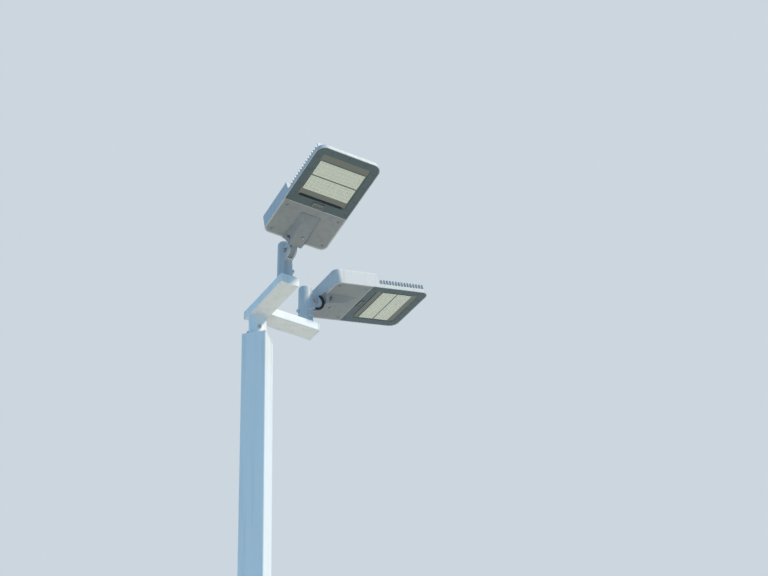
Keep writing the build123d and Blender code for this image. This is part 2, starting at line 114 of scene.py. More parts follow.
def span(node, axes=None):
    """Lowest and highest corner of a CAD node, in millimetres along the axes of a frame."""
    inverse = (axes or Matrix.Identity(4)).inverted()
    places = [inverse @ corner.co for corner in frame["nodes"][node].data.vertices]
    low = [min(place[axis] for place in places) / MM for axis in range(3)]
    high = [max(place[axis] for place in places) / MM for axis in range(3)]
    return Vector(low), Vector(high)


pole_low, pole_high = span("pole_shaft")
cover_low, cover_high = span("driver_cover_left", heads["left"])
frame_low, frame_high = span("lens_frame_left", heads["left"])
print("driver cover spans", rounded(cover_high - cover_low, 1), "mm")
print("lens frame spans", rounded(frame_high - frame_low, 1), "mm")

# %% [markdown]
# ## The camera
#
# The photographer stood about eight metres from the pole and looked up at its head. The camera's
# place, its two axes and its lens were worked out by fitting corners of the model to the
# photograph, so the picture shows the light under the same angle.

# %% Set up the camera
PICTURE_WIDTH = 768
SENSOR_WIDTH = 36
FOCAL_PIXELS = 1948.86
CAMERA_PLACE = Vector((2.286, -7.605, 2.143))
CAMERA_AHEAD = Vector((-0.1703, 0.7904, 0.5885)).normalized()
CAMERA_ROLL = radians(-1.95)

level_right = CAMERA_AHEAD.cross(UP).normalized()
level_up = level_right.cross(CAMERA_AHEAD)
right = level_right * cos(CAMERA_ROLL) + level_up * sin(CAMERA_ROLL)
up = level_up * cos(CAMERA_ROLL) - level_right * sin(CAMERA_ROLL)
camera_turn = Matrix((right, up, -CAMERA_AHEAD)).transposed().to_4x4()

camera = link_new("camera", bpy.data.cameras.new("camera"))
camera.data.sensor_width = SENSOR_WIDTH
camera.data.lens = FOCAL_PIXELS / PICTURE_WIDTH * SENSOR_WIDTH
camera.matrix_world = Matrix.Translation(CAMERA_PLACE) @ camera_turn
bpy.context.scene.camera = camera
print("lens of", round(camera.data.lens, 1), "mm")

# %% [markdown]
# ## Adding nodes
#
# Materials, the world and the geometry trees are all built from nodes. One small function adds a
# node, gives it its settings and fills its inputs. An input takes either a value or the output of
# another node, which is then linked. Colours are written as the hex codes that a paint chart
# gives, and turned to the linear values that the renderer counts in.

# %% Helpers for colours and nodes
SRGB_KNEE = 0.04045
SRGB_SLOPE = 12.92
SRGB_OFFSET = 0.055
SRGB_POWER = 2.4
POLE_WHITE = "#f2f2ef"


def linear(hex_code):
    """Linear colour, with full opacity, from a hex code."""
    shares = [int(hex_code[start:start + 2], 16) / 255 for start in (1, 3, 5)]
    curve = [
        share / SRGB_SLOPE if share <= SRGB_KNEE
        else ((share + SRGB_OFFSET) / (1 + SRGB_OFFSET)) ** SRGB_POWER
        for share in shares
    ]
    return (*curve, 1.0)


def switched_on(sockets, name=None):
    """The first socket with that name among those that a node's settings leave switched on."""
    return next(socket for socket in sockets if socket.enabled and name in (None, socket.name))


def fill(tree, node, inputs):
    """Fills a node's inputs, each with a value, a node, or a node and the name of its output."""
    for name, value in inputs.items():
        socket = node.inputs[name] if isinstance(name, int) else switched_on(node.inputs, name)
        if isinstance(value, bpy.types.Node):
            tree.links.new(switched_on(value.outputs), socket)
        elif isinstance(value, tuple) and isinstance(value[0], bpy.types.Node):
            tree.links.new(switched_on(value[0].outputs, value[1]), socket)
        else:
            socket.default_value = value


def add_node(tree, kind, inputs=None, **settings):
    """Adds a node, gives it its settings and then fills its inputs."""
    node = tree.nodes.new(kind)
    for name, value in settings.items():
        setattr(node, name, value)
    fill(tree, node, inputs or {})
    return node


print("the pole's white in linear values:", rounded(linear(POLE_WHITE)))

# %% [markdown]
# ## Soft world and backdrop
#
# A street light is looked at from below, so most of what shows is in its own shade. The world
# lights it softly: sky blue from above and a darker blue at and below the horizon, so that the
# shaded sides turn blue as outdoors. What the camera sees behind the object, and what shiny metal
# mirrors, is an even pale backdrop.

# %% Set the soft world
scene.view_settings.view_transform = "Standard"

BACKDROP = "#ccd6df"
LIGHT_ABOVE = (0.17, 0.47, 0.79, 1.0)
LIGHT_BELOW = (0.15, 0.28, 0.45, 1.0)
HORIZON_BLUR = 0.25

world = bpy.data.worlds.new("studio")
world.use_nodes = True
scene.world = world
tree = world.node_tree
tree.nodes.clear()
looking = add_node(tree, "ShaderNodeTexCoord")
split = add_node(tree, "ShaderNodeSeparateXYZ", {"Vector": (looking, "Generated")})
height = add_node(tree, "ShaderNodeMapRange", {
    "Value": (split, "Z"), "From Min": -HORIZON_BLUR, "From Max": HORIZON_BLUR,
})
soft_light = add_node(tree, "ShaderNodeMix", {
    "Factor": height, "A": LIGHT_BELOW, "B": LIGHT_ABOVE,
}, data_type="RGBA")
ray = add_node(tree, "ShaderNodeLightPath")
seen = add_node(tree, "ShaderNodeMath", {
    0: (ray, "Is Camera Ray"), 1: (ray, "Is Glossy Ray"),
}, operation="MAXIMUM")
seen_through = add_node(tree, "ShaderNodeMath", {
    0: seen, 1: (ray, "Is Transmission Ray"),
}, operation="MAXIMUM")
shown = add_node(tree, "ShaderNodeMix", {
    "Factor": seen_through, "A": soft_light, "B": linear(BACKDROP),
}, data_type="RGBA")
background = add_node(tree, "ShaderNodeBackground", {"Color": shown, "Strength": 1.0})
add_node(tree, "ShaderNodeOutputWorld", {"Surface": background})
print("world of", len(tree.nodes), "nodes")

# %% [markdown]
# ## Key lamp and floor
#
# One warm, wide lamp shines from the right at a plain level. The floor is one wide disc of plain
# pale lining, such as a studio rolls out, and the warm light on the undersides comes back from
# it.

# %% Hang the key lamp and lay the floor
LAMP_STRENGTH = 3.1
LAMP_SPREAD = radians(6)
LAMP_COLOUR = (1.0, 0.91, 0.75)
LAMP_ELEVATION = radians(49)
FLOOR_RADIUS = 14
FLOOR_DROP = 0.001
FLOOR_SEGMENTS = 96
FLOOR_COLOUR = "#e0cdb6"

lamp = link_new("key_lamp", bpy.data.lights.new("key_lamp", "SUN"))
lamp.data.energy = LAMP_STRENGTH
lamp.data.angle = LAMP_SPREAD
lamp.data.color = LAMP_COLOUR
to_lamp = Vector((cos(LAMP_ELEVATION), 0, sin(LAMP_ELEVATION)))
lamp.rotation_mode = "QUATERNION"
lamp.rotation_quaternion = to_lamp.to_track_quat("Z", "Y")
print("light comes from", rounded(to_lamp, 2))

disc = bmesh.new()
bmesh.ops.create_circle(disc, cap_ends=True, segments=FLOOR_SEGMENTS, radius=FLOOR_RADIUS)
floor_mesh = bpy.data.meshes.new("floor")
disc.to_mesh(floor_mesh)
disc.free()
floor_mesh.transform(Matrix.Translation((0, 0, -FLOOR_DROP)))
floor = link_new("floor", floor_mesh)

lining = bpy.data.materials.new("studio floor lining")
lining.use_nodes = True
lining_shader = lining.node_tree.nodes["Principled BSDF"]
fill(lining.node_tree, lining_shader, {"Base Color": linear(FLOOR_COLOUR), "Roughness": 0.9})
floor_mesh.materials.append(lining)
print("floor of", FLOOR_RADIUS, "m")

# %% [markdown]
# ## Powder coat outdoors
#
# Steel poles and luminaire castings are powder coated: dry paint is baked on, and it flows into a
# skin with a faint orange peel. After years outdoors it chalks in broad patches, rain draws thin
# grey streaks down the upright faces, and dust stays on the faces that look up. All the paints
# here share those four signs, so one function builds them, with each pattern's size in
# millimetres. The orange peel of a real coat is 1 to 2 mm wide. That is finer than a pixel here,
# so it is drawn about 6 mm wide and very shallow.

# %% Powder coat finish
PATCH_SIZE = 350 * MM
STREAK_WIDTH = 28 * MM
STREAK_LENGTH = 900 * MM
PEEL_SIZE = 6 * MM
POWDER_IOR = 1.5
DULLER = 0.1
SHINIER = 0.07


def new_finish(name):
    """A new material with its node tree, its shader and its coordinates."""
    finish = bpy.data.materials.new(name)
    finish.use_nodes = True
    tree = finish.node_tree
    return finish, tree, tree.nodes["Principled BSDF"], add_node(tree, "ShaderNodeTexCoord")


def powder_coat(name, colour, chalk, grime, dust, roughness, peel_depth, grime_share, dust_share):
    """Baked powder coat with chalky patches, rain streaks, dust on top and a faint orange peel."""
    finish, tree, shader, here = new_finish(name)
    patches = add_node(tree, "ShaderNodeTexNoise", {
        "Vector": (here, "Object"), "Scale": 1 / PATCH_SIZE, "Detail": 4.0, "Roughness": 0.6,
    })
    patch_share = add_node(tree, "ShaderNodeMapRange", {
        "Value": patches, "From Min": 0.4, "From Max": 0.7, "To Max": 0.8,
    })
    chalked = add_node(tree, "ShaderNodeMix", {
        "Factor": patch_share, "A": linear(colour), "B": linear(chalk),
    }, data_type="RGBA")
    drawn_down = add_node(tree, "ShaderNodeMapping", {
        "Vector": (here, "Object"),
        "Scale": (1 / STREAK_WIDTH, 1 / STREAK_WIDTH, 1 / STREAK_LENGTH),
    })
    streaks = add_node(tree, "ShaderNodeTexNoise", {
        "Vector": drawn_down, "Scale": 1.0, "Detail": 5.0, "Roughness": 0.65,
    })
    streak_share = add_node(tree, "ShaderNodeMapRange", {
        "Value": streaks, "From Min": 0.5, "From Max": 0.78, "To Max": grime_share,
    })
    streaked = add_node(tree, "ShaderNodeMix", {
        "Factor": streak_share, "A": chalked, "B": linear(grime),
    }, data_type="RGBA")
    facing = add_node(tree, "ShaderNodeSeparateXYZ", {"Vector": (here, "Normal")})
    dust_cover = add_node(tree, "ShaderNodeMapRange", {
        "Value": (facing, "Z"), "From Min": 0.55, "From Max": 0.95, "To Max": dust_share,
    })
    dust_broken = add_node(tree, "ShaderNodeMath", {
        0: dust_cover, 1: patches,
    }, operation="MULTIPLY")
    dusty = add_node(tree, "ShaderNodeMix", {
        "Factor": dust_broken, "A": streaked, "B": linear(dust),
    }, data_type="RGBA")
    dulled = add_node(tree, "ShaderNodeMapRange", {
        "Value": patches, "To Min": roughness - SHINIER, "To Max": roughness + DULLER,
    })
    peel = add_node(tree, "ShaderNodeTexNoise", {
        "Vector": (here, "Object"), "Scale": 1 / PEEL_SIZE, "Detail": 2.0,
    })
    skin = add_node(tree, "ShaderNodeBump", {
        "Height": peel, "Strength": 0.6, "Distance": peel_depth,
    })
    fill(tree, shader, {
        "Base Color": dusty, "Roughness": dulled, "Normal": skin, "IOR": POWDER_IOR,
    })
    return finish


# The pole is white, baked on smooth steel: a satin skin that shows faint streaks.
white_paint = powder_coat(
    name="white powder coat on steel",
    colour=POLE_WHITE,
    chalk="#f4f5f4",
    grime="#b9b7ad",
    dust="#c9c3b4",
    roughness=0.42,
    peel_depth=0.25 * MM,
    grime_share=0.35,
    dust_share=0.5,
)
# The castings are light grey here: housing, heat sink and fitters take a lighter copy of the one
# casting paint, painted light for their sunlit sides. Their paint lies on sand-blasted aluminium,
# so it looks duller.
lit_casting = powder_coat(
    name="light grey powder coat on cast aluminium, painted light",
    colour="#c7c8c9",
    chalk="#d1d2d2",
    grime="#8b8982",
    dust="#b5afa2",
    roughness=0.5,
    peel_depth=0.5 * MM,
    grime_share=0.45,
    dust_share=0.6,
)
# Cover and neck take a darker copy of the same casting paint, painted shade for their shaded
# undersides; the streaks hardly show in it.
shaded_casting = powder_coat(
    name="mid grey powder coat on cast aluminium, painted shade",
    colour="#9a9c9c",
    chalk="#a4a6a6",
    grime="#7c7b76",
    dust="#a39d91",
    roughness=0.52,
    peel_depth=0.5 * MM,
    grime_share=0.45,
    dust_share=0.6,
)
# The lens frame is a matt dark grey that takes up the colours round it.
dark_casting = powder_coat(
    name="dark grey powder coat on cast aluminium",
    colour="#596a6e",
    chalk="#647477",
    grime="#54534e",
    dust="#8f897d",
    roughness=0.46,
    peel_depth=0.4 * MM,
    grime_share=0.5,
    dust_share=0.6,
)
print("four powder coats, with orange peel", PEEL_SIZE / MM, "mm wide")

# %% [markdown]
# ## Galvanised steel
#
# The upright tubes under the fitters are dipped in molten zinc. As it freezes it grows flat
# crystals, the spangle, 8 to 15 mm wide, each of which mirrors the light in its own way. A
# Voronoi pattern gives cells of that size, and each cell's random colour sets how dark and how
# rough it is.

# %% Galvanised finish
SPANGLE_SIZE = 11 * MM

galvanised, tree, shader, here = new_finish("hot-dip galvanised steel")
spangle = add_node(tree, "ShaderNodeTexVoronoi", {
    "Vector": (here, "Object"), "Scale": 1 / SPANGLE_SIZE,
})
crystal = add_node(tree, "ShaderNodeSeparateColor", {"Color": (spangle, "Color")})
zinc_colour = add_node(tree, "ShaderNodeMix", {
    "Factor": (crystal, "Red"), "A": linear("#9ea3a6"), "B": linear("#c3c8ca"),
}, data_type="RGBA")
zinc_roughness = add_node(tree, "ShaderNodeMapRange", {
    "Value": (crystal, "Green"), "To Min": 0.35, "To Max": 0.6,
})
fill(tree, shader, {"Base Color": zinc_colour, "Roughness": zinc_roughness, "Metallic": 0.9})
print("spangle of", SPANGLE_SIZE / MM, "mm")

# %% [markdown]
# ## Small metal parts
#
# Screws and bolts are zinc plated: a bright bluish metal that dulls in small blotches. The latch
# is brushed stainless steel. Brushing leaves hair-thin parallel scratches, far finer than a pixel
# here, so they are drawn 1 mm wide, as long stretched noise that changes the roughness and the
# surface.

# %% Zinc plate and brushed stainless steel
BLOTCH_SIZE = 5 * MM
BRUSH_WIDTH = 1 * MM
BRUSH_LENGTH = 60 * MM
BRUSH_TURN = radians(45)
BRUSH_DEPTH = 0.1 * MM

zinc_plate, tree, shader, here = new_finish("zinc-plated steel")
blotches = add_node(tree, "ShaderNodeTexNoise", {
    "Vector": (here, "Object"), "Scale": 1 / BLOTCH_SIZE, "Detail": 3.0,
})
plate_colour = add_node(tree, "ShaderNodeMix", {
    "Factor": blotches, "A": linear("#8d9296"), "B": linear("#c2c6c8"),
}, data_type="RGBA")
plate_roughness = add_node(tree, "ShaderNodeMapRange", {
    "Value": blotches, "To Min": 0.3, "To Max": 0.55,
})
fill(tree, shader, {"Base Color": plate_colour, "Roughness": plate_roughness, "Metallic": 1.0})

stainless, tree, shader, here = new_finish("brushed stainless steel")
brushed_along = add_node(tree, "ShaderNodeMapping", {
    "Vector": (here, "Object"),
    "Rotation": (0, 0, BRUSH_TURN),
    "Scale": (1 / BRUSH_LENGTH, 1 / BRUSH_WIDTH, 1 / BRUSH_WIDTH),
})
scratches = add_node(tree, "ShaderNodeTexNoise", {
    "Vector": brushed_along, "Scale": 1.0, "Detail": 3.0,
})
steel_roughness = add_node(tree, "ShaderNodeMapRange", {
    "Value": scratches, "To Min": 0.3, "To Max": 0.5,
})
steel_skin = add_node(tree, "ShaderNodeBump", {
    "Height": scratches, "Strength": 0.4, "Distance": BRUSH_DEPTH,
})
fill(tree, shader, {
    "Base Color": linear("#7c8183"),
    "Roughness": steel_roughness,
    "Normal": steel_skin,
    "Metallic": 1.0,
})
print("brush marks drawn", BRUSH_WIDTH / MM, "mm wide")

# %% [markdown]
# ## Lens plastic and seals
#
# The lens panels are moulded polycarbonate, which yellows a little outdoors. Unlit, the yellow
# phosphor of the LED chips glows faintly through it, so the panels look like warm, greenish milk.
# The plastic is glossy, with fine dust. The seals are black silicone rubber.

# %% Polycarbonate and silicone
DUST_SIZE = 14 * MM
POLYCARBONATE_IOR = 1.586
SILICONE_IOR = 1.41

lens_plastic, tree, shader, here = new_finish("moulded polycarbonate over LED chips")
lens_dust = add_node(tree, "ShaderNodeTexNoise", {
    "Vector": (here, "Object"), "Scale": 1 / DUST_SIZE, "Detail": 5.0, "Roughness": 0.7,
})
lens_colour = add_node(tree, "ShaderNodeMix", {
    "Factor": lens_dust, "A": linear("#f3f4e4"), "B": linear("#e9e9d9"),
}, data_type="RGBA")
chip_height = add_node(tree, "ShaderNodeAttribute", attribute_name="dome_height")
chip_share = add_node(tree, "ShaderNodeMapRange", {
    "Value": (chip_height, "Fac"), "From Min": 0.8, "From Max": 0.98, "To Max": 0.3,
})
chip_tint = add_node(tree, "ShaderNodeMix", {
    "Factor": chip_share, "A": lens_colour, "B": linear("#d8c982"),
}, data_type="RGBA")
lens_roughness = add_node(tree, "ShaderNodeMapRange", {
    "Value": lens_dust, "To Min": 0.2, "To Max": 0.42,
})
fill(tree, shader, {
    "Base Color": chip_tint, "Roughness": lens_roughness, "IOR": POLYCARBONATE_IOR,
})

# The same black rubber also makes the cord that is painted shadow in each groove behind the
# recess.
silicone, tree, shader, here = new_finish("black silicone rubber")
bloom = add_node(tree, "ShaderNodeTexNoise", {
    "Vector": (here, "Object"), "Scale": 1 / DUST_SIZE, "Detail": 3.0,
})
rubber_colour = add_node(tree, "ShaderNodeMix", {
    "Factor": bloom, "A": linear("#1e2022"), "B": linear("#3a3c3d"),
}, data_type="RGBA")
fill(tree, shader, {"Base Color": rubber_colour, "Roughness": 0.65, "IOR": SILICONE_IOR})
print("lens dust of", DUST_SIZE / MM, "mm")

# %% [markdown]
# ## Dressing the CAD solids
#
# The solids keep their shape and only change their finish. A table of the starts of their names
# says which finish each one takes, so the left and the right luminaire are always dressed alike.

# %% Give each solid its finish
FINISHES = {
    "base_plate": white_paint,
    "pole_shaft": white_paint,
    "pole_top_plate": white_paint,
    "hand_hole": white_paint,
    "bracket_": white_paint,
    "arm_end_cap": white_paint,
    "pole_tenon": galvanised,
    "arm_tenon": galvanised,
    "collar_set_screws": zinc_plate,
    "fitter_set_screws": zinc_plate,
    "knuckle_bolt": zinc_plate,
    "slip_fitter": lit_casting,
    "driver_housing": lit_casting,
    "heat_sink": lit_casting,
    "knuckle_neck": shaded_casting,
    "driver_cover": shaded_casting,
    "lens_frame": dark_casting,
    "lens_panel": lens_plastic,
    "cover_latch": stainless,
}
for node_name, solid in frame["nodes"].items():
    finish = next(finish for start, finish in FINISHES.items() if node_name.startswith(start))
    solid.data.materials.clear()
    solid.data.materials.append(finish)
print(len(frame["nodes"]), "solids dressed in", len(set(FINISHES.values())), "finishes")

# %% [markdown]
# The recess round the lens panels is painted a little lighter and warmer than the frame's border:
# a painted reflection of the warm light that comes up from below. Each frame gets a copy of its
# paint in which everything that lies deeper than half the recess takes that colour. The depth is
# measured along the luminaire's own upright, which a dot product picks out of the object
# coordinates.

# %% Tint the recesses
RECESS_DEPTH = 5
RECESS_REFLECTION = "#83857c"
REFLECTION_EDGE = 0.5 * MM

for side in SIDES:
    framed = dark_casting.copy()
    framed.name = f"dark grey powder coat with a dusty recess, {side}"
    tree = framed.node_tree
    shader = tree.nodes["Principled BSDF"]
    paint = shader.inputs["Base Color"].links[0].from_node
    upright = heads[side].col[2].to_3d()
    half_deep = upright.dot(heads[side].translation) + (frame_low.z + RECESS_DEPTH / 2) * MM
    here = add_node(tree, "ShaderNodeTexCoord")
    depth = add_node(tree, "ShaderNodeVectorMath", {
        0: (here, "Object"), 1: upright,
    }, operation="DOT_PRODUCT")
    deep = add_node(tree, "ShaderNodeMapRange", {
        "Value": (depth, "Value"), "From Min": half_deep, "From Max": half_deep + REFLECTION_EDGE,
    })
    # Painted reflection: below half the recess depth, the frame takes the lighter, warmer colour.
    reflection_tinted = add_node(tree, "ShaderNodeMix", {
        "Factor": deep, "A": paint, "B": linear(RECESS_REFLECTION),
    }, data_type="RGBA")
    fill(tree, shader, {"Base Color": reflection_tinted})
    lens_frame = frame["nodes"][f"lens_frame_{side}"]
    lens_frame.data.materials.clear()
    lens_frame.data.materials.append(framed)
    print(side, "recess is tinted from", RECESS_DEPTH / 2, "mm deep")

# %% [markdown]
# ## Heads and washers
#
# A real hexagon head isn't a plain prism. Its corners are turned off by a 30 degree chamfer,
# which leaves a round face on top and curved shoulders on the flats. One helper makes all such
# small solids: it stacks rings, each round or hexagonal, and closes them with faces.

# %% A solid made of rings
RING_SIDES = 24
SHARP_ANGLE = radians(32)


def hexagon_reach(half_across, angle):
    """Distance from a hexagon's middle to its side, at an angle."""
    return half_across / cos((angle + pi / 6) % (pi / 3) - pi / 6)


def ring_solid(name, rings):
    """Closed mesh object through rings of (shape, half width, height, fall), in millimetres.

    The fall lowers a hexagon's corners by that share of how far they stand out.
    """
    solid = bmesh.new()
    loops = []
    for shape, half, rise, fall in rings:
        loop = []
        for step in range(RING_SIDES):
            angle = 2 * pi * step / RING_SIDES
            reach = hexagon_reach(half, angle) if shape == "hexagon" else half
            place = Vector((reach * cos(angle), reach * sin(angle), rise - fall * (reach - half)))
            loop.append(solid.verts.new(place * MM))
        loops.append(loop)
    for lower, upper in zip(loops, loops[1:]):
        for step in range(RING_SIDES):
            after = (step + 1) % RING_SIDES
            solid.faces.new((lower[step], lower[after], upper[after], upper[step]))
    solid.faces.new(reversed(loops[0]))
    solid.faces.new(loops[-1])
    mesh = bpy.data.meshes.new(name)
    solid.to_mesh(mesh)
    solid.free()
    mesh.shade_smooth()
    mesh.set_sharp_from_angle(angle=SHARP_ANGLE)
    return link_new(name, mesh)


print("ring solids have", RING_SIDES, "sides")

# %% [markdown]
# Three shapes come back all over the light: a hexagon head, a washer, and a domed button head
# with a hexagon socket. Each is a short list of rings, in shares of its own sizes.

# %% Rings of heads and washers
CHAMFER = tan(radians(30))
HEAD_FACE = 0.94
HEAD_FOOT = 0.96
HEAD_FOOT_RISE = 0.05
WASHER_SOFTNESS = 0.2
BUTTON_DOME = ((1, 0), (1, 0.25), (0.9, 0.62), (0.72, 0.88), (0.55, 1))
SOCKET_FLOOR = 0.35


def hexagon_rings(across, height, start=0.0):
    """Rings of a chamfered hexagon head."""
    half = across / 2
    face = HEAD_FACE * half
    return [
        ("round", HEAD_FOOT * half, start, 0),
        ("hexagon", half, start + HEAD_FOOT_RISE * height, 0),
        ("hexagon", half, start + height - CHAMFER * (half - face), CHAMFER),
        ("round", face, start + height, 0),
    ]


def washer_rings(radius, thickness, start=0.0):
    """Rings of a washer with softened rims."""
    soft = WASHER_SOFTNESS * thickness
    return [
        ("round", radius - soft, start, 0),
        ("round", radius, start + soft, 0),
        ("round", radius, start + thickness - soft, 0),
        ("round", radius - soft, start + thickness, 0),
    ]


def button_rings(radius, height, socket):
    """Rings of a domed button head with a hexagon socket."""
    return [
        *[("round", width * radius, rise * height, 0) for width, rise in BUTTON_DOME],
        ("hexagon", socket / 2, height, 0),
        ("hexagon", socket / 2, SOCKET_FLOOR * height, 0),
    ]


print("a hexagon head has", len(hexagon_rings(1, 1)), "rings")

# %% [markdown]
# ## Geometry Nodes
#
# What repeats is made by geometry trees. Every tree ends alike: its copies become real mesh, and
# the mesh takes a finish. A modifier's inputs are set by the identifiers of their sockets before
# the tree first runs. The result is copied to a plain mesh, and the helper objects are deleted.

# %% Build and run a geometry tree


def new_tree(name, sockets):
    """Geometry tree with a geometry input, named inputs and a geometry output."""
    tree = bpy.data.node_groups.new(name, "GeometryNodeTree")
    tree.interface.new_socket("Geometry", in_out="INPUT", socket_type="NodeSocketGeometry")
    for label, kind in sockets.items():
        tree.interface.new_socket(label, in_out="INPUT", socket_type=kind)
    tree.interface.new_socket("Geometry", in_out="OUTPUT", socket_type="NodeSocketGeometry")
    return tree, add_node(tree, "NodeGroupInput")


def end_tree(tree, given, geometry):
    """Ends a tree: turns its copies into real mesh and gives them the finish."""
    real = add_node(tree, "GeometryNodeRealizeInstances", {"Geometry": geometry})
    finished = add_node(tree, "GeometryNodeSetMaterial", {
        "Geometry": real, "Material": (given, "Finish"),
    })
    add_node(tree, "NodeGroupOutput", {"Geometry": finished})
    print(tree.name, "takes", len(tree.nodes), "nodes")


def run_tree(name, source, tree, values, place):
    """Plain mesh object that the tree makes of the source object, moved into place."""
    modifier = source.modifiers.new(tree.name, "NODES")
    modifier.node_group = tree
    for item in tree.interface.items_tree:
        if item.item_type == "SOCKET" and item.name in values:
            modifier[item.identifier] = values[item.name]
    ready = source.evaluated_get(bpy.context.evaluated_depsgraph_get())
    mesh = bpy.data.meshes.new_from_object(ready)
    mesh.transform(place)
    source.modifiers.remove(modifier)
    bpy.data.objects.remove(source)
    mesh.name = name
    return link_new(name, mesh)


# %% [markdown]
# Screws repeat the most. Their tree reads a cloud of points, each with the direction in which its
# screw faces, and puts a copy of one screw on every point.

# %% The tree that sets screws
screw_tree, given = new_tree("screws on points", {
    "Screw": "NodeSocketObject", "Finish": "NodeSocketMaterial",
})
screw = add_node(screw_tree, "GeometryNodeObjectInfo", {"Object": (given, "Screw")})
facing = add_node(
    screw_tree, "GeometryNodeInputNamedAttribute", {"Name": "facing"}, data_type="FLOAT_VECTOR",
)
aligned = add_node(screw_tree, "FunctionNodeAlignRotationToVector", {"Vector": facing}, axis="Z")
copies = add_node(screw_tree, "GeometryNodeInstanceOnPoints", {
    "Points": (given, "Geometry"), "Instance": (screw, "Geometry"), "Rotation": aligned,
})
end_tree(screw_tree, given, copies)

# %% [markdown]
# One call of the function below makes one piece of equal screws: it builds the screw and the
# cloud of points, runs the tree, and says which body the piece rides on and which finish it takes.

# %% Set screws on points


def points_object(name, places, facings):
    """Object of loose points in metres, each with the direction in which its screw faces."""
    mesh = bpy.data.meshes.new(name)
    mesh.from_pydata([tuple(place) for place in places], [], [])
    attribute = mesh.attributes.new("facing", "FLOAT_VECTOR", "POINT")
    for entry, facing in zip(attribute.data, facings):
        entry.vector = facing
    return link_new(name, mesh)


def set_screws(name, rings, places, facings, axes, finish, body):
    """One piece of equal screws, placed in millimetres in a frame, riding on a body."""
    pattern = ring_solid(f"{name}_pattern", rings)
    cloud = points_object(f"{name}_points", [Vector(place) * MM for place in places], facings)
    piece = run_tree(name, cloud, screw_tree, {"Screw": pattern, "Finish": finish}, axes)
    bpy.data.objects.remove(pattern)
    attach(piece, body)
    print(name, "has", len(places), "screws and", len(piece.data.polygons), "faces")
    return piece


# %% [markdown]
# ## Set screws of the collar and the fitters
#
# Three hexagon set screws clamp the collar on the pole's tenon, and three clamp each fitter on
# its upright tube. The solids already have them as plain prisms. Here they are made again with
# their chamfers and a shank, and stand for those solids. The fitters' screws have been painted
# over with their castings, so hardly anything of them shows from the ground.

# %% Place the set screws
SET_SCREW_RADIUS = 5
SET_SCREW_ACROSS = 17
SET_SCREW_HEAD = 7
SET_SCREW_STAND_OFF = 2
COLLAR_RADIUS = 44.5
COLLAR_BORE_REACH = 38.3
COLLAR_SCREW_HEIGHT = 45
COLLAR_SCREW_ANGLES = (180, 300, 60)
FITTER_PAD_REACH = 40.5
FITTER_BORE_REACH = 30.45
FITTER_SCREW_LOW = 34
FITTER_SCREW_HIGH = 72
SIDE_ANGLE = 90
BACK_ANGLE = 180
TIP_BEVEL = 1
INNER_SIDE = {"left": -1, "right": 1}


def level(height):
    """Frame that stands level at a height in millimetres."""
    return Matrix.Translation((0, 0, height * MM))


def set_screw_rings(bore_reach, seat_reach):
    """Rings of a set screw, from its tip at the bore to its head beyond the seat."""
    shank = seat_reach + SET_SCREW_STAND_OFF - bore_reach
    return [
        ("round", SET_SCREW_RADIUS - TIP_BEVEL, 0, 0),
        ("round", SET_SCREW_RADIUS, TIP_BEVEL, 0),
        ("round", SET_SCREW_RADIUS, shank, 0),
        *hexagon_rings(SET_SCREW_ACROSS, SET_SCREW_HEAD, shank),
    ]


def round_a_tube(angles_and_heights, reach):
    """Places on a tube's wall and the directions in which they face."""
    places = []
    facings = []
    for angle, height in angles_and_heights:
        facing = Vector((cos(radians(angle)), sin(radians(angle)), 0))
        places.append(facing * reach + UP * height)
        facings.append(facing)
    return places, facings


collar_low, collar_high = span("bracket_collar")
places, facings = round_a_tube(
    [(angle, COLLAR_SCREW_HEIGHT) for angle in COLLAR_SCREW_ANGLES], COLLAR_BORE_REACH,
)
collar_screws = set_screws(
    "collar_screws_detailed",
    set_screw_rings(COLLAR_BORE_REACH, COLLAR_RADIUS),
    places,
    facings,
    level(collar_low.z),
    zinc_plate,
    "mast",
)
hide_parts("collar_set_screws")

for side in SIDES:
    inner = SIDE_ANGLE * INNER_SIDE[side]
    places, facings = round_a_tube(
        [(inner, FITTER_SCREW_LOW), (inner, FITTER_SCREW_HIGH), (BACK_ANGLE, FITTER_SCREW_HIGH)],
        FITTER_BORE_REACH,
    )
    fitter_screws = set_screws(
        f"fitter_screws_detailed_{side}",
        set_screw_rings(FITTER_BORE_REACH, FITTER_PAD_REACH),
        places,
        facings,
        sites[side],
        lit_casting,
        f"fitter_{side}",
    )
    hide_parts(f"fitter_set_screws_{side}")

# %% [markdown]
# ## Knuckle bolts
#
# One bolt runs through both cheeks of a fitter and the hub of the neck between them. It has its
# head on the inner side, toward the other arm, and a nut on the outer one, each on a washer, and
# its threaded end stands a little out of the nut. The whole bolt is one stack of rings along the
# hinge.

# %% Make the knuckle bolts
KNUCKLE_SEAT = 24
KNUCKLE_RADIUS = 6
KNUCKLE_ACROSS = 19
KNUCKLE_HEAD = 8
KNUCKLE_WASHER = 13
KNUCKLE_WASHER_THICKNESS = 2.5
THREAD_END = 3
THREAD_BEVEL = 1


def knuckle_rings():
    """Rings of a whole bolt, from the face of its head to its threaded end."""
    nut_seat = KNUCKLE_SEAT + KNUCKLE_WASHER_THICKNESS
    nut_face = nut_seat + KNUCKLE_HEAD
    nut_and_washer = [
        *washer_rings(KNUCKLE_WASHER, KNUCKLE_WASHER_THICKNESS, KNUCKLE_SEAT),
        *hexagon_rings(KNUCKLE_ACROSS, KNUCKLE_HEAD, nut_seat),
    ]
    return [
        *[(shape, half, -rise, -fall) for shape, half, rise, fall in reversed(nut_and_washer)],
        ("round", KNUCKLE_RADIUS, -KNUCKLE_SEAT, 0),
        ("round", KNUCKLE_RADIUS, KNUCKLE_SEAT, 0),
        *nut_and_washer,
        ("round", KNUCKLE_RADIUS, nut_face, 0),
        ("round", KNUCKLE_RADIUS, nut_face + THREAD_END - THREAD_BEVEL, 0),
        ("round", KNUCKLE_RADIUS - THREAD_BEVEL, nut_face + THREAD_END, 0),
    ]


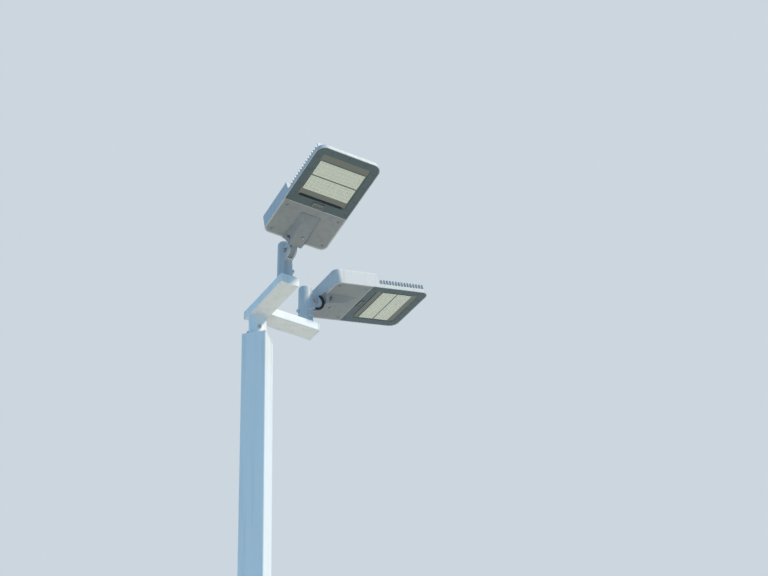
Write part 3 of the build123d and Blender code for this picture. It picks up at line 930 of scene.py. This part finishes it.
for side in SIDES:
    nut_side = Vector((0, -INNER_SIDE[side], 0))
    knuckle_bolt = set_screws(
        f"knuckle_bolt_detailed_{side}",
        knuckle_rings(),
        [(0, 0, 0)],
        [nut_side],
        hinges[side],
        zinc_plate,
        f"fitter_{side}",
    )
    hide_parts(f"knuckle_bolt_{side}")

# %% [markdown]
# ## Screws under the luminaire
#
# Four button head screws sit in the counterbores of the driver cover. Small ones hold the lens
# frame to the heat sink all along its border. Two hexagon bolts, deep in their pockets, hold the
# neck to the housing. All of them look down, out of the underside. The neck also has a plug, on
# its sloping lower face, which rises by so much for each step ahead.

# %% Place the luminaires' screws
COVER_SCREW = {"radius": 5.2, "height": 2.7, "socket": 4}
COVER_SCREW_GRID = (163, 286)
COUNTERBORE_DEPTH = 3
COVER_MIDDLE = 163.5
FRAME_SCREW = {"radius": 3.6, "height": 2.0, "socket": 2.5}
FRAME_SCREW_SIDE = 151.5
FRAME_SCREW_ROWS = (292, 384, 476, 568)
FRAME_SCREW_TIP = 605
FRAME_SCREW_TIP_SPREAD = (-92, 0, 92)
NECK_BOLT_WASHER = {"radius": 8, "thickness": 1.6}
NECK_BOLT_HEAD = {"across": 13, "height": 5.3, "start": 1.6}
NECK_BOLT_AHEAD = 80
NECK_BOLT_ACROSS = 47
NECK_BOLT_SEAT = 24
PLUG_FLANGE = {"radius": 8.5, "thickness": 1.5, "start": -0.2}
PLUG_HEAD = {"across": 13, "height": 4.5, "start": 1.3}
PLUG_AHEAD = 107
PLUG_ACROSS = 14
NECK_REAR = (40, 46)
NECK_FRONT = (228, 17)
BOTH_WAYS = (-1, 1)
DOWN = -UP
underside = frame_low.z

half_grid = [size / 2 for size in COVER_SCREW_GRID]
cover_places = [
    (COVER_MIDDLE + ahead * half_grid[0], across * half_grid[1], underside + COUNTERBORE_DEPTH)
    for ahead in BOTH_WAYS
    for across in BOTH_WAYS
]
frame_places = [
    (row, across * FRAME_SCREW_SIDE, underside)
    for row in FRAME_SCREW_ROWS
    for across in BOTH_WAYS
]
frame_places += [(FRAME_SCREW_TIP, across, underside) for across in FRAME_SCREW_TIP_SPREAD]
neck_places = [
    (NECK_BOLT_AHEAD, across * NECK_BOLT_ACROSS, NECK_BOLT_SEAT) for across in BOTH_WAYS
]
neck_rise = (NECK_REAR[1] - NECK_FRONT[1]) / (NECK_FRONT[0] - NECK_REAR[0])
plug_height = cover_low.z - NECK_REAR[1] + neck_rise * (PLUG_AHEAD - NECK_REAR[0])
plug_place = (PLUG_AHEAD, PLUG_ACROSS, plug_height)
plug_facing = Vector((neck_rise, 0, -1)).normalized()

plug_rings = washer_rings(**PLUG_FLANGE) + hexagon_rings(**PLUG_HEAD)
neck_bolt_rings = washer_rings(**NECK_BOLT_WASHER) + hexagon_rings(**NECK_BOLT_HEAD)
cover_rings = button_rings(**COVER_SCREW)
frame_rings = button_rings(**FRAME_SCREW)
for side in SIDES:
    for name, rings, places, facing, finish, slot in (
        ("neck_plug", plug_rings, [plug_place], plug_facing, zinc_plate, "zinc_fixings"),
        ("cover_screws", cover_rings, cover_places, DOWN, zinc_plate, "zinc_fixings"),
        ("lens_frame_screws", frame_rings, frame_places, DOWN, dark_casting, "frame_paint"),
        ("neck_bolts", neck_bolt_rings, neck_places, DOWN, zinc_plate, "zinc_fixings"),
    ):
        body = f"luminaire_{side}"
        facings = [facing] * len(places)
        set_screws(f"{name}_{side}", rings, places, facings, heads[side], finish, body)

# %% [markdown]
# Two more button heads hold the cover of the hand hole, above and below the opening.

# %% Place the hand hole's screws
HAND_HOLE_SCREW = {"radius": 5.2, "height": 3.0, "socket": 4}
HAND_HOLE_SCREW_SPREAD = 71

hand_hole_low, hand_hole_high = span("hand_hole_cover")
hand_hole_middle = (hand_hole_low + hand_hole_high) / 2
set_screws(
    "hand_hole_screws",
    button_rings(**HAND_HOLE_SCREW),
    [
        (hand_hole_low.x, 0, hand_hole_middle.z + way * HAND_HOLE_SCREW_SPREAD)
        for way in BOTH_WAYS
    ],
    [Vector((-1, 0, 0))] * len(BOTH_WAYS),
    Matrix.Identity(4),
    zinc_plate,
    "mast",
)

# %% [markdown]
# ## Weld beads
#
# The pole is welded to its plate, the collar to the arms, and the arms to each other and to their
# end caps. A weld bead is a round ridge with ripples, like a row of overlapping coins, because
# the welder's arc moves on in small steps. The tree below follows a line, swells and shrinks a
# round profile along it once for each ripple, and leaves a mesh that is buried in the corner by
# half.

# %% The tree that lays beads along a line
STEPS_PER_RIPPLE = 4

bead_tree, given = new_tree("weld bead along a line", {
    "Radius": "NodeSocketFloat",
    "Ripple": "NodeSocketFloat",
    "Swell": "NodeSocketFloat",
    "Finish": "NodeSocketMaterial",
})
line = add_node(bead_tree, "GeometryNodeMeshToCurve", {"Mesh": (given, "Geometry")})
step_length = add_node(bead_tree, "ShaderNodeMath", {
    0: (given, "Ripple"), 1: STEPS_PER_RIPPLE,
}, operation="DIVIDE")
even_line = add_node(bead_tree, "GeometryNodeResampleCurve", {
    "Curve": line, "Length": step_length,
}, mode="LENGTH")
along = add_node(bead_tree, "GeometryNodeSplineParameter")
turns = add_node(bead_tree, "ShaderNodeMath", {
    0: (along, "Length"), 1: (given, "Ripple"),
}, operation="DIVIDE")
phase = add_node(bead_tree, "ShaderNodeMath", {0: turns, 1: 2 * pi}, operation="MULTIPLY")
wave = add_node(bead_tree, "ShaderNodeMath", {0: phase}, operation="SINE")
swollen = add_node(bead_tree, "ShaderNodeMath", {
    0: wave, 1: (given, "Swell"), 2: 1.0,
}, operation="MULTIPLY_ADD")
bead_radius = add_node(bead_tree, "ShaderNodeMath", {
    0: swollen, 1: (given, "Radius"),
}, operation="MULTIPLY")
profile = add_node(bead_tree, "GeometryNodeCurvePrimitiveCircle", {
    "Resolution": 10, "Radius": 1.0,
})
bead = add_node(bead_tree, "GeometryNodeCurveToMesh", {
    "Curve": even_line, "Profile Curve": profile, "Scale": bead_radius, "Fill Caps": True,
})
smooth_bead = add_node(bead_tree, "GeometryNodeSetShadeSmooth", {"Geometry": bead})
end_tree(bead_tree, given, smooth_bead)

# %% [markdown]
# The tree reads its line from the edges of a mesh. Most lines here are closed rectangles with
# rounded corners, because that is the outline of the pole and of the arms.

# %% Lines for the beads to follow
WELD_SWELL = 0.09


def rounded_loop(width, length, corner, steps=6):
    """Corners of a closed rectangle with rounded corners, in millimetres, round the origin."""
    loop = []
    quarters = ((1, 1, 0), (-1, 1, 90), (-1, -1, 180), (1, -1, 270))
    for across, along_side, start in quarters:
        for step in range(steps + 1):
            angle = radians(start + 90 * step / steps)
            loop.append((
                across * (width / 2 - corner) + corner * cos(angle),
                along_side * (length / 2 - corner) + corner * sin(angle),
                0,
            ))
    return loop


def line_object(name, loops, closed=True):
    """Object of lines, each a list of places in millimetres, that close on themselves or not."""
    corners = []
    edges = []
    for loop in loops:
        first = len(corners)
        corners += [Vector(place) * MM for place in loop]
        steps = len(loop) if closed else len(loop) - 1
        edges += [(first + step, first + (step + 1) % len(loop)) for step in range(steps)]
    mesh = bpy.data.meshes.new(name)
    mesh.from_pydata([tuple(corner) for corner in corners], edges, [])
    return link_new(name, mesh)


def weld(name, loop, radius, ripple, axes):
    """One weld bead on the mast, along a closed line that is given in its own frame."""
    source = line_object(f"{name}_line", [loop])
    values = {
        "Radius": radius * MM, "Ripple": ripple * MM, "Swell": WELD_SWELL, "Finish": white_paint,
    }
    piece = run_tree(name, source, bead_tree, values, axes)
    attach(piece, "mast")
    print(name, "has", len(piece.data.polygons), "faces")


# %% [markdown]
# Each weld gets its own line: the pole's outline on the base plate, the outline of the top
# plate's seam, the collar's circle under the arms, the mitre between the arms, and the seams of
# the caps. The seams are ground nearly flush, so their beads are thin and sunk in.

# %% Lay the welds
POLE_CORNER = 9
ARM_CORNER = 5
FOOT_LEG = 7
FOOT_RIPPLE = 5
SEAM_RADIUS = 2.6
SEAM_RIPPLE = 3
SEAM_SINK = 1.2
COLLAR_BEAD_RADIUS = 4.5
COLLAR_RIPPLE = 4
COLLAR_STEPS = 48

pole_width = pole_high.x - pole_low.x
arm_low, arm_high = span("bracket_arm_left", sites["left"])
arm_width = arm_high.y - arm_low.y
arm_height = arm_high.z - arm_low.z
arm_floor = collar_high.z

foot_loop = rounded_loop(pole_width, pole_width, POLE_CORNER)
weld("weld_pole_foot", foot_loop, FOOT_LEG, FOOT_RIPPLE, level(pole_low.z))

sunk_width = pole_width - 2 * SEAM_SINK
plate_loop = rounded_loop(sunk_width, sunk_width, POLE_CORNER - SEAM_SINK)
weld("weld_top_plate", plate_loop, SEAM_RADIUS, SEAM_RIPPLE, level(pole_high.z))

collar_angles = [2 * pi * step / COLLAR_STEPS for step in range(COLLAR_STEPS)]
collar_loop = [
    (COLLAR_RADIUS * cos(angle), COLLAR_RADIUS * sin(angle), 0) for angle in collar_angles
]
weld("weld_collar", collar_loop, COLLAR_BEAD_RADIUS, COLLAR_RIPPLE, level(arm_floor))

sunk_height = arm_height - 2 * SEAM_SINK
mitre_loop = rounded_loop(arm_width * hypot(1, 1) - 2 * SEAM_SINK, sunk_height, ARM_CORNER)
upright_across = Matrix((
    (1, 0, 0, 0),
    (0, 0, -1, 0),
    (0, 1, 0, (arm_floor + arm_height / 2) * MM),
    (0, 0, 0, 1),
))
weld("weld_mitre", mitre_loop, SEAM_RADIUS, SEAM_RIPPLE, upright_across)

cap_loop = rounded_loop(arm_width - 2 * SEAM_SINK, sunk_height, ARM_CORNER - SEAM_SINK)
for side in SIDES:
    cap_low, cap_high = span(f"arm_end_cap_{side}", sites[side])
    cap_middle = (cap_low + cap_high) / 2
    across_arm = sites[side] @ Matrix((
        (0, 0, 1, cap_low.x * MM),
        (1, 0, 0, cap_middle.y * MM),
        (0, 1, 0, cap_middle.z * MM),
        (0, 0, 0, 1),
    ))
    weld(f"weld_end_cap_{side}", cap_loop, SEAM_RADIUS, SEAM_RIPPLE, across_arm)

# %% [markdown]
# ## Lens domes
#
# Each panel is a sheet of moulded lenses, one low dome over each LED chip, in four rows of
# twelve. A grid gives the places and a sphere the shape: its upper half is kept, its lower half
# is pressed flat so that it stays closed, and the height in the dome is stored for the material,
# which tints the middle with the yellow of the chip below.

# %% The tree that moulds the lens domes
PRESSED_FLAT = 0.04

dome_tree, given = new_tree("lens domes on a grid", {
    "Length": "NodeSocketFloat",
    "Width": "NodeSocketFloat",
    "Rows": "NodeSocketInt",
    "Columns": "NodeSocketInt",
    "Dome": "NodeSocketVector",
    "Finish": "NodeSocketMaterial",
})
grid = add_node(dome_tree, "GeometryNodeMeshGrid", {
    "Size X": (given, "Length"),
    "Size Y": (given, "Width"),
    "Vertices X": (given, "Rows"),
    "Vertices Y": (given, "Columns"),
})
ball = add_node(dome_tree, "GeometryNodeMeshUVSphere", {
    "Segments": 20, "Rings": 12, "Radius": 1.0,
})
place = add_node(dome_tree, "GeometryNodeInputPosition")
parts = add_node(dome_tree, "ShaderNodeSeparateXYZ", {"Vector": place})
above = add_node(dome_tree, "ShaderNodeMath", {0: (parts, "Z"), 1: 0.0}, operation="MAXIMUM")
below = add_node(dome_tree, "ShaderNodeMath", {0: (parts, "Z"), 1: 0.0}, operation="MINIMUM")
pressed = add_node(dome_tree, "ShaderNodeMath", {
    0: below, 1: PRESSED_FLAT, 2: above,
}, operation="MULTIPLY_ADD")
moulded = add_node(dome_tree, "ShaderNodeCombineXYZ", {
    "X": (parts, "X"), "Y": (parts, "Y"), "Z": pressed,
})
domed = add_node(dome_tree, "GeometryNodeSetPosition", {"Geometry": ball, "Position": moulded})
marked = add_node(dome_tree, "GeometryNodeStoreNamedAttribute", {
    "Geometry": domed, "Name": "dome_height", "Value": (parts, "Z"),
}, data_type="FLOAT", domain="POINT")
smooth_dome = add_node(dome_tree, "GeometryNodeSetShadeSmooth", {"Geometry": marked})
dome_copies = add_node(dome_tree, "GeometryNodeInstanceOnPoints", {
    "Points": grid, "Instance": smooth_dome, "Scale": (given, "Dome"),
})
end_tree(dome_tree, given, dome_copies)

# %% [markdown]
# The domes of one luminaire face down, so the tree's result is turned over before it is moved
# onto the panel. The seals are beads without ripples, laid round each panel where it meets the
# frame.

# %% Mould the domes and lay the seals
DOME_PITCH = 20
DOME_ROWS = 4
DOME_COLUMNS = 12
DOME_SIZE = Vector((8.6, 8.6, 2.6))
PANEL_CORNER = 4
PANEL_SEAL_RADIUS = 1.1
PANEL_SEAL_RIPPLE = 12
TURNED_OVER = Matrix.Rotation(pi, 4, "X")

dome_values = {
    "Length": (DOME_ROWS - 1) * DOME_PITCH * MM,
    "Width": (DOME_COLUMNS - 1) * DOME_PITCH * MM,
    "Rows": DOME_ROWS,
    "Columns": DOME_COLUMNS,
    "Dome": DOME_SIZE * MM,
    "Finish": lens_plastic,
}
seal_values = {
    "Radius": PANEL_SEAL_RADIUS * MM,
    "Ripple": PANEL_SEAL_RIPPLE * MM,
    "Swell": 0.0,
    "Finish": silicone,
}
for side in SIDES:
    seal_loops = []
    for panel in ("front", "rear"):
        low, high = span(f"lens_panel_{panel}_{side}", heads[side])
        middle = (low + high) / 2
        on_face = Matrix.Translation(Vector((middle.x, middle.y, low.z)) * MM) @ TURNED_OVER
        domes = run_tree(
            f"lens_domes_{panel}_{side}",
            points_object(f"domes_{panel}_{side}_start", [(0, 0, 0)], [DOWN]),
            dome_tree,
            dome_values,
            heads[side] @ on_face,
        )
        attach(domes, f"luminaire_{side}")
        outline = rounded_loop(high.x - low.x, high.y - low.y, PANEL_CORNER, steps=3)
        seal_height = high.z - PANEL_SEAL_RADIUS
        seal_loops.append([(x + middle.x, y + middle.y, seal_height) for x, y, _ in outline])
    seals = run_tree(
        f"lens_seals_{side}",
        line_object(f"seals_{side}_line", seal_loops),
        bead_tree,
        seal_values,
        heads[side],
    )
    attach(seals, f"luminaire_{side}")
    print(side, "domes have", len(domes.data.polygons), "faces a panel")
    print(side, "seals have", len(seals.data.polygons), "faces")

# %% [markdown]
# ## Black profiles
#
# The same tree draws a plain round black profile when its ripple is switched off. One lies in
# the groove behind each recess as painted shadow: it stands in for the shade deep in that groove.
# Another lies round the rim of the left fork's inner cheek: from below it shows as a black arc.
# The right fork shows none, so it gets none. That profile is centred on the hinge and belongs to
# the fork, so the neck turns past it when the luminaire tilts.

# %% Lay the black profiles
GROOVE_AHEAD = 325
GROOVE_SHADOW_RADIUS = 5.2
GROOVE_SHADOW_REACH = 114
GROOVE_SHADOW_HEIGHT = 8
RIM_ARC_RADIUS = 7
RIM_ARC_BEND = 46
RIM_ARC_ACROSS = 22
RIM_ARC_ANGLES = (-86, 64)
RIM_ARC_STEP = 3
RIPPLE_OFF = {"Ripple": 8 * MM, "Swell": 0.0}


def black_profile(name, line, radius, axes, body):
    """Round black profile along an open line in millimetres, riding on a body."""
    source = line_object(f"{name}_line", [line], closed=False)
    values = {"Radius": radius * MM, **RIPPLE_OFF, "Finish": silicone}
    piece = run_tree(name, source, bead_tree, values, axes)
    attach(piece, body)
    print(name, "has", len(piece.data.polygons), "faces")


# Painted shadow: a black cord in the groove behind each recess stands in for the shade deep in it.
groove = [
    (GROOVE_AHEAD, way * GROOVE_SHADOW_REACH, underside + GROOVE_SHADOW_HEIGHT) for way in BOTH_WAYS
]
for side in SIDES:
    black_profile(
        f"recess_seal_{side}", groove, GROOVE_SHADOW_RADIUS, heads[side], f"luminaire_{side}",
    )

# A black round profile round the rim of the left fork's inner cheek, where a black arc shows from
# below.
rim = [
    (
        RIM_ARC_BEND * cos(radians(angle)),
        INNER_SIDE["left"] * RIM_ARC_ACROSS,
        RIM_ARC_BEND * sin(radians(angle)),
    )
    for angle in range(*RIM_ARC_ANGLES, RIM_ARC_STEP)
]
black_profile("knuckle_seal_left", rim, RIM_ARC_RADIUS, hinges["left"], "fitter_left")
